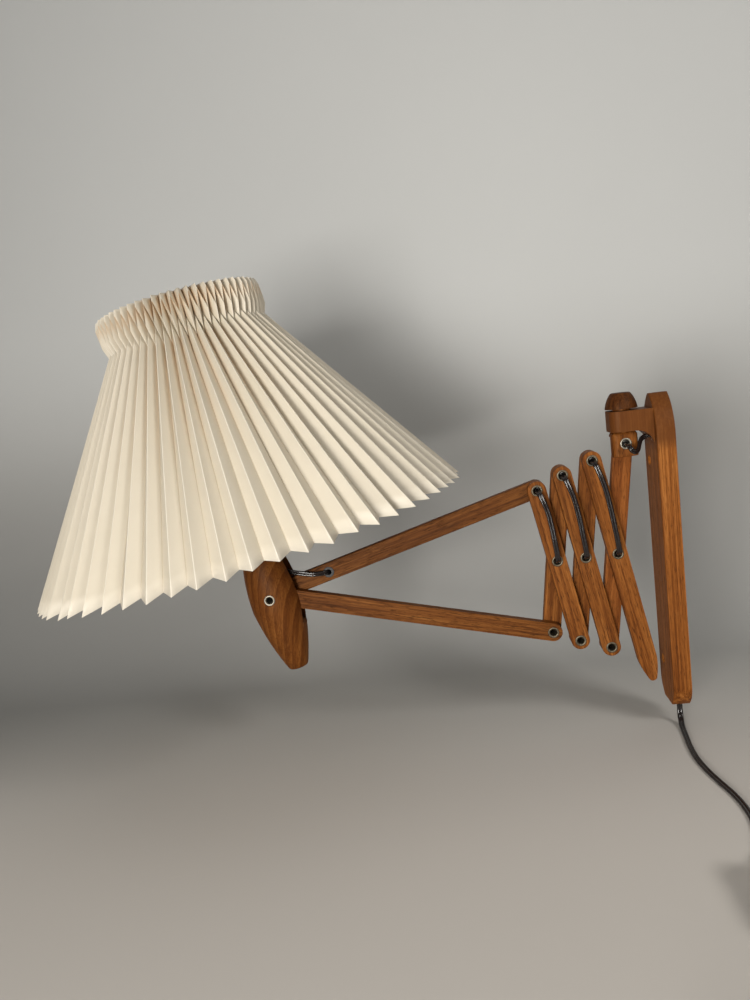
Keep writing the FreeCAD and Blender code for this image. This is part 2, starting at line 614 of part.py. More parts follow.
def seg(label, upper, lower, side):
    """The flex over one scissor arm: in through one tubular rivet, along the arm's face, out through the next."""
    x = side * (N("cable_back") if side < 0 else N("cable_front"))
    bow = side * (1.3 if side < 0 else 3.6)
    mid = ((upper[0] + lower[0]) / 2, (upper[1] + lower[1]) / 2)
    quarter = (upper[0] * 0.72 + lower[0] * 0.28, upper[1] * 0.72 + lower[1] * 0.28)
    end = (upper[0] * 0.26 + lower[0] * 0.74, upper[1] * 0.26 + lower[1] * 0.74)
    tube(label, [out(*upper, x=side * 0.2), out(*upper, x=x), out(*quarter, x=x + bow * 0.8), out(*end, x=x + bow), out(*lower, x=x),
                 out(*lower, x=side * 0.2)], cable, {1: 4.2, 4: 4.2})


seg("cable_back_1", P0, M1, -1)
seg("cable_front_1", T1, M1, 1)
seg("cable_back_2", T1, M2, -1)
seg("cable_front_2", T2, M2, 1)
seg("cable_back_3", T2, M3, -1)
seg("cable_front_3", T3, M3, 1)

xb = -N("cable_back")
lead = [(T3, -0.2), (T3, xb)]
for share, dx, dz in ((0.17, -1.2, 0.6), (0.36, -0.3, -0.8), (0.55, -1.3, 0.5), (0.74, -0.2, -0.6), (0.89, -0.9, 0.5)):
    lead.append(((T3[0] + (H[0] - T3[0]) * share, T3[1] + (H[1] - T3[1]) * share + dz), xb + dx))
lead += [(H, xb), (H, 3.5), ((H[0] + 12.5, H[1] + 0.2), 3.9)]
tube("cable_upper", [out(*p, x=x) for p, x in lead], cable, {1: 4.2, len(lead) - 3: 4.2, len(lead) - 2: 4.2})

# inside the head: up the slot, through the nipple and to the terminals
in_head = [V(1.2, 9.0, 21.5), V(0.4, 4.2, 27.6), V(0, 0.6, 34.5), V(0, 0, 44.0), V(0, 0, N("holder_high") + 8.0)]
in_head = [HEAD.multVec(p) for p in in_head]
tube("cable_head", in_head, cable)
first = out(H[0] + 13.0, H[1] + 0.2, 3.9)
tube("cable_tilt_loop", [first, out(H[0] + 21.0, H[1] + 1.6, 3.8), HEAD.multVec(V(1.9, 15.2, 16.0)), HEAD.multVec(V(1.35, 9.6, 20.9))], cable)

# out of the wall plate under the lug, round in a small loop and into the first tubular rivet
cs, ch, cy = N("channel_side"), N("cable_hole_up"), 7.0
tube("cable_swivel_loop", [
    V(cs, -18.5, ch), V(cs + 0.1, -21.8, ch - 0.4), V(cs + 3.2, -24.6, ch - 4.4), V(cs + 7.6, -26.6, ch - 8.6), V(cs + 12.0, -30.0, ch - 10.2),
    V(cs + 14.4, -33.6, ch - 8.0), V(cs + 11.6, -34.9, N("pivot_up") + 0.1), V(0.2, -34.5, N("pivot_up")),
], cable)
tube("cable_plate", [V(cs, -18.0, ch), V(cs, -cy, ch), V(cs + 0.25, -cy - 0.1, 40.0), V(cs - 0.25, -cy, -14.0), V(cs + 0.2, -cy - 0.1, -66.0),
                     V(cs, -cy, -124.9)], cable, {1: 4.6})

# ---------------------------------------------------------------- supply cord, switch, coil and plug
cord, floor = N("cord_radius"), N("floor_level")
z = floor + cord
SWITCH = (236.0, -17.0)
COIL = (336.0, -36.0)
switch_z = floor + 9.4
route = [
    V(cs, -cy, -125.2), V(cs, -cy - 0.1, -131.0), V(cs + 3.4, -cy - 0.8, -137.2), V(cs + 12.0, -9.2, z), V(33.5, -11.0, z),
    V(51.5, -13.4, z), V(69.5, -14.2, z), V(87.0, -12.6, z), V(103.0, -9.7, z), V(119.0, -6.2, z), V(136.0, -4.6, z), V(153.0, -5.6, z),
    V(170.0, -9.4, z), V(184.0, -13.6, z + 0.6), V(195.0, -16.2, z + 4.4), V(SWITCH[0] - 31.0, -17.0, switch_z),
]
tube("supply_cord", route, cord)
route_two = [
    V(SWITCH[0] + 31.0, -17.0, switch_z), V(SWITCH[0] + 41.0, -16.6, switch_z - 3.6), V(SWITCH[0] + 53.0, -14.4, z + 0.3),
    V(SWITCH[0] + 67.0, -10.2, z), V(COIL[0] - 19.0, COIL[1] + N("coil_mid") + 2 * cord - 0.1, z),
]
tube("supply_cord_to_coil", route_two, cord)

turns_out, turns_in = N("coil_mid") + 3 * cord, N("coil_mid") - 3 * cord
coil = body("supply_cord_coil")
sk = sketch(coil, "CoilSection", "XZ_Plane")
high = D("cord_radius") * 2 * D("coil_layers")
outline(sk, [(turns_in, 0.9), (turns_in + 0.9, 0), (turns_out - 0.9, 0), (turns_out, 0.9), (turns_out, high - 0.9), (turns_out - 0.9, high),
             (turns_in + 0.9, high), (turns_in, high - 0.9)])
turn(coil, "CoilTurned", sk)
coil.Placement = FreeCAD.Placement(V(COIL[0], COIL[1], floor), FreeCAD.Rotation())
piece(coil)

plug_x = COIL[0] + N("coil_mid") + 3 * cord + 8.0
tail = [
    V(COIL[0] + N("coil_mid") + 2 * cord + 1.3, COIL[1] - 16.0, z), V(COIL[0] + N("coil_mid") + 2 * cord + 3.4, COIL[1] - 23.0, z + 0.8),
    V(plug_x - 1.6, COIL[1] - 29.0, z + 3.0), V(plug_x, COIL[1] - 33.8, z + 4.4), V(plug_x, COIL[1] - 37.7, z + 4.4),
]

plug = body("plug_body")
sk = sketch(plug, "PlugPlan", "XY_Plane")
outline(sk, [(4.2, 0), (5.4, -9.0, (7.6, -15.0)), (13.2, -21.0), (17.4, -26.0), (17.4, -38.0), (-17.4, -38.0), (-17.4, -26.0),
             (-13.2, -21.0, (-7.6, -15.0)), (-5.4, -9.0), (-4.2, 0)])
stock = pad(plug, "PlugPad", sk, 13.4)
rounded(plug, "PlugEdges", stock, 2.4, lambda e: (abs(e.CenterOfMass.z) < 0.01 or abs(e.CenterOfMass.z - 13.4) < 0.01) and e.CenterOfMass.y < -1.0
        and e.CenterOfMass.y > -37.5)
for k, side in enumerate((-9.0, 9.0)):
    bored(plug, "PinSeat%d" % k, 2.03, 12.0, V(side, -28.0, 6.7), V(0, -1, 0))
plug.Placement = FreeCAD.Placement(V(plug_x, COIL[1] - 38.0, floor), FreeCAD.Rotation())
piece(plug)
tube("supply_cord_end", tail, cord)

pins = []
for k, side in enumerate((-9.0, 9.0)):
    sleeve = doc.addObject("Part::Cylinder", "PlugPin%d" % k)
    sleeve.Radius, sleeve.Height = 2.0, 28.9
    sleeve.Placement = FreeCAD.Placement(V(plug_x + side, COIL[1] - 66.1, floor + 6.7), FreeCAD.Rotation(V(0, 0, 1), V(0, -1, 0)))
    pins.append(sleeve)
both = doc.addObject("Part::Compound", "plug_pins")
both.Label = "plug_pins"
both.Links = pins
piece(both)

# in-line switch: two shells and a rocker
base = body("cord_switch_base")
sk = sketch(base, "SwitchPlan", "XY_Plane")
SWITCH_PLAN = [(-31.0, -5.2, (-27.4, -10.4)), (-17.0, -12.6), (17.0, -12.6, (27.4, -10.4)), (31.0, -5.2), (31.0, 5.2, (27.4, 10.4)), (17.0, 12.6),
               (-17.0, 12.6, (-27.4, 10.4)), (-31.0, 5.2)]
outline(sk, SWITCH_PLAN)
stock = pad(base, "SwitchLower", sk, 9.2)
hollow = rounded(base, "SwitchLowerEdges", stock, 1.6, lambda e: abs(e.CenterOfMass.z) < 0.01)
milled(base, "SwitchWell", (44.0, 19.0, 20.0), V(-22.0, -9.5, 2.0))
bored(base, "CordWay", 2.5, 70.0, V(-35.0, 0, 9.4), V(1, 0, 0))
base.Placement = FreeCAD.Placement(V(SWITCH[0], SWITCH[1], floor), FreeCAD.Rotation())
piece(base)
cover = body("cord_switch_cover")
sk = sketch(cover, "SwitchPlanTop", "XY_Plane", 9.3)
outline(sk, SWITCH_PLAN)
stock = pad(cover, "SwitchUpper", sk, 9.1)
hollow = rounded(cover, "SwitchUpperEdges", stock, 1.6, lambda e: abs(e.CenterOfMass.z - 18.4) < 0.01)
milled(cover, "SwitchWell", (44.0, 19.0, 11.0), V(-22.0, -9.5, 5.2))
milled(cover, "RockerWindow", (17.4, 11.4, 10.0), V(-8.7, -5.7, 12.0))
for k, side in enumerate((-7.9, 5.7)):
    cheek = cover.newObject("PartDesign::AdditiveBox", "RockerCheek%d" % k)
    cheek.Length, cheek.Width, cheek.Height = 6.0, 2.2, 4.0
    cheek.Placement = FreeCAD.Placement(V(-3.0, side, 12.4), FreeCAD.Rotation())
bored(cover, "RockerPivot", 1.25, 15.0, V(0, -7.5, 14.5), V(0, 1, 0))
bored(cover, "CordWay", 2.5, 70.0, V(-35.0, 0, 9.4), V(1, 0, 0))
cover.Placement = FreeCAD.Placement(V(SWITCH[0], SWITCH[1], floor), FreeCAD.Rotation())
piece(cover)
rocker = body("cord_switch_rocker")
sk = sketch(rocker, "RockerSide", "XZ_Plane", -5.2)
outline(sk, [(-8.0, 13.6), (0, 12.2), (8.0, 13.6), (8.0, 17.6, (0, 19.2)), (-8.0, 17.6)])
pad(rocker, "RockerPad", sk, 10.4)
trunnion = rocker.newObject("PartDesign::AdditiveCylinder", "RockerTrunnion")
trunnion.Radius, trunnion.Height = 1.2, 14.4
trunnion.Placement = FreeCAD.Placement(V(0, -7.2, 14.5), FreeCAD.Rotation(V(0, 0, 1), V(0, 1, 0)))
# one end of the rocker lies pressed down
rocker.Placement = FreeCAD.Placement(V(SWITCH[0], SWITCH[1], floor), FreeCAD.Rotation(V(0, 1, 0), 9.0), V(0, 0, 14.5))
piece(rocker)

# ---------------------------------------------------------------- check and write
doc.recompute()
failed = [obj.Label for obj in doc.Objects if any(word in obj.State for word in ("Invalid", "Error"))]
if failed:
    raise RuntimeError("failed: " + ", ".join(failed))
os.makedirs("parts", exist_ok=True)
labels = [obj.Label for obj in PIECES]
if len(set(labels)) != len(labels):
    raise RuntimeError("two pieces share a name")
for obj in PIECES:
    if obj.Shape.isNull() or not obj.Shape.isValid() or obj.Shape.Volume <= 0 or not obj.Shape.Solids:
        raise RuntimeError("bad shape: " + obj.Label)
for name in os.listdir("parts"):
    if name.endswith(".step") and name[:-5] not in labels:
        os.remove(os.path.join("parts", name))
for obj in PIECES:
    obj.Shape.exportStep(os.path.join("parts", obj.Label + ".step"))
    box = obj.Shape.BoundBox
    print("%-22s solids %d  vol %9.1f  x %7.1f %7.1f  y %7.1f %7.1f  z %7.1f %7.1f" % (
        obj.Label, len(obj.Shape.Solids), obj.Shape.Volume, box.XMin, box.XMax, box.YMin, box.YMax, box.ZMin, box.ZMax))
for line in REPORT:
    print(line)
for name, point in (("P0", P0), ("M1", M1), ("T1", T1), ("Q1", Q1), ("M2", M2), ("T2", T2), ("Q2", Q2), ("M3", M3), ("T3", T3), ("Q3", Q3), ("E", E), ("H", H)):
    print("pivot %s out %.4f up %.4f" % (name, point[0], point[1]))
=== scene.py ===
import math
import random

import bpy
from mathutils import Matrix, Vector


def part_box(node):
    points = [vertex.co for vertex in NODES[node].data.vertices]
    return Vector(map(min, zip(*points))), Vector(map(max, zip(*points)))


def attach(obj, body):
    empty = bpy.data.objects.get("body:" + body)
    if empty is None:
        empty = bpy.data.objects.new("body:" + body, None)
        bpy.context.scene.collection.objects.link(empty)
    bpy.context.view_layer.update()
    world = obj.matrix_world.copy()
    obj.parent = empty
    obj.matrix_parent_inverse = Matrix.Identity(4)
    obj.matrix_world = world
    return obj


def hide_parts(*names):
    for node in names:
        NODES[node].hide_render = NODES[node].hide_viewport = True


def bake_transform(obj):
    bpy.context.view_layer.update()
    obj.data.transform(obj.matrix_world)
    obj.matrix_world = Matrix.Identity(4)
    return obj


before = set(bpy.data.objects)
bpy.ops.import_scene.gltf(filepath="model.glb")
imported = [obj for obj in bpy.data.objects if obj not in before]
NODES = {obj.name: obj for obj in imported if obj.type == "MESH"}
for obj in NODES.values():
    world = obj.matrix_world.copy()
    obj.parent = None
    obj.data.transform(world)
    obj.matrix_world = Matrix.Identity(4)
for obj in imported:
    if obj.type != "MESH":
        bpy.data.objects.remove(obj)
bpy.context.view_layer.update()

rng = random.Random(11)


def mm(x, y, z):
    return Vector((x / 1000.0, y / 1000.0, z / 1000.0))


# ---------------------------------------------------------------- camera
cam_data = bpy.data.cameras.new("main_camera")
cam_data.lens = 28.315
cam_data.sensor_width = 36.0
cam_data.sensor_height = 36.0
cam_data.sensor_fit = "AUTO"
cam_data.clip_start = 0.01
cam_data.clip_end = 20.0
cam = bpy.data.objects.new("main_camera", cam_data)
bpy.context.scene.collection.objects.link(cam)
right = Vector((-0.07748, 0.98978, -0.11974)).normalized()
back = Vector((0.98486, 0.09466, 0.14523)).normalized()
up = back.cross(right).normalized()
right = up.cross(back).normalized()
cam.matrix_world = Matrix((
    (right.x, up.x, back.x, 0.6263), (right.y, up.y, back.y, -0.1731), (right.z, up.z, back.z, 0.1574), (0, 0, 0, 1)))
bpy.context.scene.camera = cam

# ---------------------------------------------------------------- linkage points (outward, up) in mm
P0, M1, T1, Q1 = (34.5, 89.0), (46.5028, 2.8319), (60.9576, 78.4630), (57.1260, -73.4317)
M2, T2, Q2 = (71.5807, 2.1993), (84.4398, 69.4815), (81.0312, -65.6456)
M3, T3, Q3 = (93.8903, 1.6366), (104.9660, 59.5877), (102.0301, -56.7992)
E, H = (325.9388, -4.2169), (278.5738, 9.4595)
LEAN = math.radians(10.48)


def at(p, x):
    return mm(x, -p[0], p[1])


def head(x, y, h):
    c, s = math.cos(LEAN), math.sin(LEAN)
    return mm(x, -325.9388 + y * c - h * s, -4.2169 + y * s + h * c)


# ---------------------------------------------------------------- node helpers
def material(name):
    m = bpy.data.materials.new(name)
    m.use_nodes = True
    t = m.node_tree
    t.nodes.clear()
    return m, t


def add(t, kind, **values):
    n = t.nodes.new(kind)
    for key, value in values.items():
        if key.startswith("in_"):
            continue
        setattr(n, key, value)
    return n


def put(n, **sockets):
    for key, value in sockets.items():
        n.inputs[key.replace("_", " ")].default_value = value
    return n


def ramp(t, source, stops, mode="LINEAR"):
    n = add(t, "ShaderNodeValToRGB")
    n.color_ramp.interpolation = mode
    el = n.color_ramp.elements
    while len(el) < len(stops):
        el.new(0.5)
    for e, (p, c) in zip(el, stops):
        e.position = p
        e.color = (c[0], c[1], c[2], 1.0) if isinstance(c, (tuple, list)) else (c, c, c, 1.0)
    t.links.new(source, n.inputs["Fac"])
    return n.outputs["Color"]


def math_node(t, op, a, b=None, clamp=False):
    n = add(t, "ShaderNodeMath", operation=op)
    n.use_clamp = clamp
    for k, v in enumerate((a, b)):
        if v is None:
            continue
        if isinstance(v, (int, float)):
            n.inputs[k].default_value = v
        else:
            t.links.new(v, n.inputs[k])
    return n.outputs[0]


def mix_color(t, fac, a, b, mode="MIX"):
    n = add(t, "ShaderNodeMix", data_type="RGBA", blend_type=mode)
    for key, v in ((0, fac), (6, a), (7, b)):
        if isinstance(v, (int, float)):
            n.inputs[key].default_value = v
        elif isinstance(v, (tuple, list)):
            n.inputs[key].default_value = (v[0], v[1], v[2], 1.0)
        else:
            t.links.new(v, n.inputs[key])
    return n.outputs[2]


def noise(t, vec, scale, detail=3.0, rough=0.55, distortion=0.0):
    n = add(t, "ShaderNodeTexNoise")
    put(n, Scale=scale, Detail=detail, Roughness=rough, Distortion=distortion)
    t.links.new(vec, n.inputs["Vector"])
    return n.outputs["Fac"]


def mapping(t, vec, rot=(0, 0, 0), loc=(0, 0, 0), scale=(1, 1, 1)):
    n = add(t, "ShaderNodeMapping")
    n.inputs["Rotation"].default_value = rot
    n.inputs["Location"].default_value = loc
    n.inputs["Scale"].default_value = scale
    t.links.new(vec, n.inputs["Vector"])
    return n.outputs["Vector"]


def bump(t, height, strength, distance):
    n = add(t, "ShaderNodeBump")
    put(n, Strength=strength, Distance=distance)
    t.links.new(height, n.inputs["Height"])
    return n.outputs["Normal"]


def finish_shader(t, color, rough, normal=None, **sockets):
    p = add(t, "ShaderNodeBsdfPrincipled")
    o = add(t, "ShaderNodeOutputMaterial")
    t.links.new(p.outputs["BSDF"], o.inputs["Surface"])
    if isinstance(color, (tuple, list)):
        p.inputs["Base Color"].default_value = (color[0], color[1], color[2], 1.0)
    else:
        t.links.new(color, p.inputs["Base Color"])
    if isinstance(rough, (int, float)):
        p.inputs["Roughness"].default_value = rough
    else:
        t.links.new(rough, p.inputs["Roughness"])
    if normal is not None:
        t.links.new(normal, p.inputs["Normal"])
    for key, value in sockets.items():
        p.inputs[key.replace("_", " ")].default_value = value
    return p, o


def scaled(t, source, low, high):
    n = add(t, "ShaderNodeMapRange")
    n.inputs["To Min"].default_value = low
    n.inputs["To Max"].default_value = high
    t.links.new(source, n.inputs["Value"])
    return n.outputs["Result"]


# ---------------------------------------------------------------- teak
def teak(name, lean=0.0, seed=0.0, tone=1.0, centre=(0.045, 0.03), tilt=(0.0, 0.0), period=4.2, contrast=1.0, wobble=5.0, red=0.0, rings=0.12, stretch=0.030, coarse=400.0, strokes=0.75, plain=None):
    """Oiled teak. lean turns the grain about X, centre is the heart of the log beside the piece, tilt lets the rings run out."""
    m, t = material(name)
    tc = add(t, "ShaderNodeTexCoord")
    grain = mapping(t, tc.outputs["Object"], rot=(lean, 0, 0), loc=(seed * 0.37, seed * 0.53, seed * 0.71))
    local = mapping(t, tc.outputs["Object"], rot=(lean, 0, 0))
    fibre = noise(t, mapping(t, grain, scale=(1, 1, 0.035)), 1500.0, 5.0, 0.62, 0.2)
    band = noise(t, mapping(t, grain, scale=(1, 1, stretch)), coarse, 4.0, 0.6, 0.3)
    broad = noise(t, mapping(t, grain, scale=(1, 1, 0.12)), 42.0, 2.0)
    ringed = mapping(t, local, rot=(tilt[0], tilt[1], 0), loc=(centre[0], centre[1], 0.0), scale=(1, 1, 0.30))
    wave = add(t, "ShaderNodeTexWave", wave_type="RINGS", rings_direction="Z", wave_profile="SAW")
    put(wave, Scale=2 * math.pi / (20 * period / 1000.0), Distortion=wobble, Detail=3.0, Detail_Scale=0.35, Detail_Roughness=0.6)
    wave.inputs["Phase Offset"].default_value = seed * 3.1
    t.links.new(ringed, wave.inputs["Vector"])
    w = rings * contrast
    f = math_node(t, "MULTIPLY", wave.outputs["Fac"], w)
    f = math_node(t, "ADD", f, math_node(t, "MULTIPLY", band, 0.85 * contrast))
    f = math_node(t, "ADD", f, math_node(t, "MULTIPLY", fibre, 0.40))
    f = math_node(t, "ADD", f, math_node(t, "MULTIPLY", broad, 0.30))
    f = math_node(t, "SUBTRACT", f, 0.5 * (w + 0.85 * contrast + 0.40 + 0.30) - 0.5)

    def c(r, g, b):
        return (r * tone, g * tone * (1 - 0.12 * red), b * tone * 0.85)
    color = ramp(t, f, [(0.18, c(0.058, 0.0150, 0.0030)), (0.38, c(0.122, 0.0345, 0.0065)), (0.52, c(0.190, 0.060, 0.0125)),
                        (0.66, c(0.268, 0.095, 0.0230)), (0.86, c(0.380, 0.155, 0.0450))])
    pore = noise(t, mapping(t, grain, scale=(1, 1, 0.075)), 1900.0, 2.0, 0.5)
    pores = ramp(t, pore, [(0.56, 0.0), (0.66, 1.0)])
    color = mix_color(t, math_node(t, "MULTIPLY", pores, strokes), color, (0.034 * tone, 0.0095 * tone, 0.0025 * tone))
    fleck = noise(t, mapping(t, grain, loc=(0.3, 0.1, 0.2), scale=(1, 1, 0.18)), 160.0, 3.0, 0.7)
    flecks = ramp(t, fleck, [(0.60, 0.0), (0.74, 1.0)])
    color = mix_color(t, math_node(t, "MULTIPLY", flecks, 0.28), color, c(0.39, 0.165, 0.052))
    if plain is not None:
        sep = add(t, "ShaderNodeSeparateXYZ")
        t.links.new(tc.outputs["Object"], sep.inputs["Vector"])
        high = add(t, "ShaderNodeMapRange", interpolation_type="SMOOTHSTEP")
        high.inputs["From Min"].default_value = plain[0]
        high.inputs["From Max"].default_value = plain[1]
        t.links.new(sep.outputs["Z"], high.inputs["Value"])
        calm = mix_color(t, broad, (0.088, 0.0270, 0.0058), (0.132, 0.0430, 0.0095))
        calm = mix_color(t, math_node(t, "MULTIPLY", fibre, 0.45), calm, (0.060, 0.0175, 0.0040))
        color = mix_color(t, math_node(t, "MULTIPLY", high.outputs["Result"], 0.88), color, calm)
    relief = math_node(t, "SUBTRACT", math_node(t, "MULTIPLY", fibre, 0.5), math_node(t, "MULTIPLY", pores, 0.8))
    rough = scaled(t, math_node(t, "ADD", fibre, pores), 0.40, 0.66)
    finish_shader(t, color, rough, bump(t, relief, 0.35, 0.00012), Specular_IOR_Level=0.15, Specular_Tint=(1.0, 0.82, 0.62, 1.0))
    return m


# ---------------------------------------------------------------- other finishes
def metal(name, color, rough=0.28, tarnish=(0.25, 0.18, 0.10), amount=0.35, scale=900.0):
    m, t = material(name)
    tc = add(t, "ShaderNodeTexCoord")
    n1 = noise(t, tc.outputs["Object"], scale, 4.0, 0.6)
    n2 = noise(t, tc.outputs["Object"], scale * 3.5, 3.0, 0.6)
    spots = ramp(t, n1, [(0.42, 0.0), (0.66, 1.0)])
    col = mix_color(t, math_node(t, "MULTIPLY", spots, amount), color, tarnish)
    finish_shader(t, col, scaled(t, n2, rough - 0.08, rough + 0.16), bump(t, n2, 0.25, 0.00004), Metallic=1.0)
    return m


def moulded(name, color, rough=0.32, grain=1800.0, depth=0.00003, spec=0.5):
    m, t = material(name)
    tc = add(t, "ShaderNodeTexCoord")
    n1 = noise(t, tc.outputs["Object"], grain, 3.0, 0.5)
    n2 = noise(t, tc.outputs["Object"], 70.0, 4.0, 0.6)
    light = tuple(min(1.0, c * 1.5 + 0.006) for c in color)
    col = mix_color(t, math_node(t, "MULTIPLY", n2, 0.6), color, light)
    finish_shader(t, col, scaled(t, math_node(t, "ADD", n1, n2), rough - 0.06, rough + 0.12), bump(t, n1, 0.3, depth), Specular_IOR_Level=spec)
    return m


def sheath(name):
    m, t = material(name)
    tc = add(t, "ShaderNodeTexCoord")
    n1 = noise(t, tc.outputs["Object"], 420.0, 4.0, 0.6)
    n2 = noise(t, tc.outputs["Object"], 3200.0, 2.0, 0.5)
    col = mix_color(t, n1, (0.0060, 0.0050, 0.0052), (0.017, 0.0125, 0.0120))
    finish_shader(t, col, scaled(t, n1, 0.09, 0.16), bump(t, n2, 0.04, 0.00002), Specular_IOR_Level=0.55)
    return m


def opal(name):
    m, t = material(name)
    tc = add(t, "ShaderNodeTexCoord")
    n1 = noise(t, tc.outputs["Object"], 60.0, 3.0, 0.5)
    col = mix_color(t, n1, (0.86, 0.85, 0.80), (0.93, 0.92, 0.89))
    finish_shader(t, col, scaled(t, n1, 0.10, 0.20), None, Specular_IOR_Level=0.5)
    return m


def ceramic(name):
    m, t = material(name)
    tc = add(t, "ShaderNodeTexCoord")
    n1 = noise(t, tc.outputs["Object"], 240.0, 4.0, 0.6)
    col = mix_color(t, n1, (0.74, 0.71, 0.64), (0.86, 0.84, 0.79))
    finish_shader(t, col, scaled(t, n1, 0.16, 0.30), bump(t, n1, 0.2, 0.00005))
    return m


def pleat_stock(name):
    """Ivory coated paper with painted light and shade: the deep folds by the neck are painted warm and dark as shade
    with bounced light, the valleys get a painted dark crease line and the ridges a painted pale highlight; a little
    light comes through.
    """
    m, t = material(name)
    tc = add(t, "ShaderNodeTexCoord")
    fold = add(t, "ShaderNodeAttribute", attribute_name="fold")
    rise = add(t, "ShaderNodeAttribute", attribute_name="rise")
    edge = add(t, "ShaderNodeAttribute", attribute_name="edge")
    mottled = noise(t, tc.outputs["Object"], 38.0, 4.0, 0.6)
    fine = noise(t, tc.outputs["Object"], 1900.0, 3.0, 0.55)
    base = mix_color(t, mottled, (0.655, 0.600, 0.487), (0.705, 0.653, 0.540))
    fib = noise(t, mapping(t, tc.outputs["Object"], scale=(1, 1, 0.25)), 620.0, 4.0, 0.7)
    base = mix_color(t, math_node(t, "MULTIPLY", ramp(t, fib, [(0.52, 0.0), (0.75, 1.0)]), 0.14), base, (0.610, 0.540, 0.425))
    # painted shade: the deep folds by the neck are painted darker and warmer, as shade with light bounced between the
    # folds
    high = ramp(t, rise.outputs["Fac"], [(0.35, 0.0), (0.80, 0.55), (1.0, 1.0)])
    deep = ramp(t, fold.outputs["Fac"], [(0.42, 0.0), (1.0, 1.0)])
    painted_warm_shade = math_node(t, "MULTIPLY", high, math_node(t, "ADD", math_node(t, "MULTIPLY", deep, 0.66), 0.03))
    color = mix_color(t, painted_warm_shade, base, (0.66, 0.37, 0.135))
    # painted shade: a dark line down each valley fold
    painted_crease_shade = ramp(t, fold.outputs["Fac"], [(0.90, 0.0), (1.0, 1.0)])
    color = mix_color(t, math_node(t, "MULTIPLY", painted_crease_shade, 0.45), color, (0.46, 0.37, 0.24))
    # painted highlight: a pale line along each ridge fold
    painted_crest_highlight = add(t, "ShaderNodeAttribute", attribute_name="painted_crest_highlight")
    color = mix_color(t, math_node(t, "MULTIPLY", painted_crest_highlight.outputs["Fac"], 0.85), color, (0.90, 0.865, 0.775))
    color = mix_color(t, math_node(t, "MULTIPLY", edge.outputs["Fac"], 0.45), color, (0.84, 0.80, 0.71))
    p, o = finish_shader(t, color, scaled(t, fine, 0.40, 0.56), bump(t, math_node(t, "ADD", fine, fib), 0.22, 0.00006),
                         Specular_IOR_Level=0.40)
    lit = add(t, "ShaderNodeBsdfTranslucent")
    lit.inputs["Color"].default_value = (0.86, 0.66, 0.42, 1.0)
    mixer = add(t, "ShaderNodeMixShader")
    mixer.inputs["Fac"].default_value = 0.16
    t.links.new(p.outputs["BSDF"], mixer.inputs[1])
    t.links.new(lit.outputs["BSDF"], mixer.inputs[2])
    t.links.new(mixer.outputs["Shader"], o.inputs["Surface"])
    return m


MAT_METAL = metal("eyelet_metal", (0.165, 0.143, 0.105), 0.46, (0.085, 0.064, 0.040), 0.65, 700.0)
MAT_PALE = metal("eyelet_pale", (0.33, 0.31, 0.26), 0.44, (0.22, 0.19, 0.14), 0.5, 700.0)
MAT_STEEL = metal("zinc_steel", (0.58, 0.58, 0.56), 0.34, (0.30, 0.29, 0.27), 0.4, 300.0)
MAT_BRASS = metal("turned_brass", (0.66, 0.47, 0.20), 0.30, (0.26, 0.17, 0.08), 0.4, 260.0)
MAT_CAP = metal("bulb_thread", (0.66, 0.66, 0.65), 0.30, (0.4, 0.4, 0.38), 0.3, 260.0)
MAT_FLEX = sheath("black_flex")
MAT_PLASTIC = moulded("black_plastic", (0.012, 0.012, 0.013), 0.44)
MAT_BAKELITE = moulded("dark_bakelite", (0.020, 0.013, 0.010), 0.24, 900.0)
MAT_OPAL = opal("opal_glass")
MAT_CERAMIC = ceramic("glazed_ceramic")
MAT_PLEAT = pleat_stock("pleated_ivory")

LEAN_A, LEAN_B = math.radians(7.93), -math.radians(10.82)
UPPER = math.atan2(-(E[0] - T3[0]), E[1] - T3[1])
LOWER = math.atan2(-(E[0] - Q3[0]), E[1] - Q3[1])
WOODS = {
    "wall_plate": teak("teak_plate", 0.0, 0.9, 1.08, (0.110, 0.075), (0.006, 0.004), 2.7, 1.45, 1.5, rings=0.08, stretch=0.009, coarse=560.0, strokes=0.55, plain=(0.079, 0.092)),
    "swivel_block": teak("teak_block", 0.0, 2.3, 0.86, (0.030, 0.05), (0.03, 0.02), 4.0, 0.9),
    "pin_knob": teak("teak_knob", 0.0, 3.7, 0.34, (0.020, 0.06), (0.05, 0.02), 4.5, 0.9, red=0.6),
    "scissor_arm_back_1": teak("teak_back_1", LEAN_A, 4.1, 1.04, (0.05, 0.02), (0.02, 0.01), 4.4, 0.8, red=0.4),
    "scissor_arm_front_1": teak("teak_front_1", LEAN_B, 5.2, 0.98, (0.02, 0.05), (0.03, 0.02), 4.0, 1.05),
    "scissor_arm_back_2": teak("teak_back_2", LEAN_A, 6.9, 0.95, (0.06, 0.02), (0.015, 0.02), 5.0, 0.9),
    "scissor_arm_front_2": teak("teak_front_2", LEAN_B, 7.4, 0.90, (0.03, 0.03), (0.02, 0.03), 3.6, 1.0),
    "scissor_arm_back_3": teak("teak_back_3", LEAN_A, 8.8, 0.92, (0.05, 0.04), (0.03, 0.0), 4.6, 0.95),
    "scissor_arm_front_3": teak("teak_front_3", LEAN_B, 9.3, 0.94, (0.025, 0.045), (0.015, 0.02), 4.2, 1.0),
    "long_arm_upper": teak("teak_upper", UPPER, 10.6, 0.57, (0.04, 0.03), (0.012, 0.01), 3.8, 1.05),
    "long_arm_lower": teak("teak_lower", LOWER, 12.1, 0.65, (0.03, 0.05), (0.010, 0.015), 4.1, 1.05),
    "shade_holder": teak("teak_holder", LEAN, 13.7, 0.68, (0.004, 0.338), (0.10, 0.16), 6.0, 0.60, 2.0, rings=0.30, coarse=220.0, strokes=0.45),
}
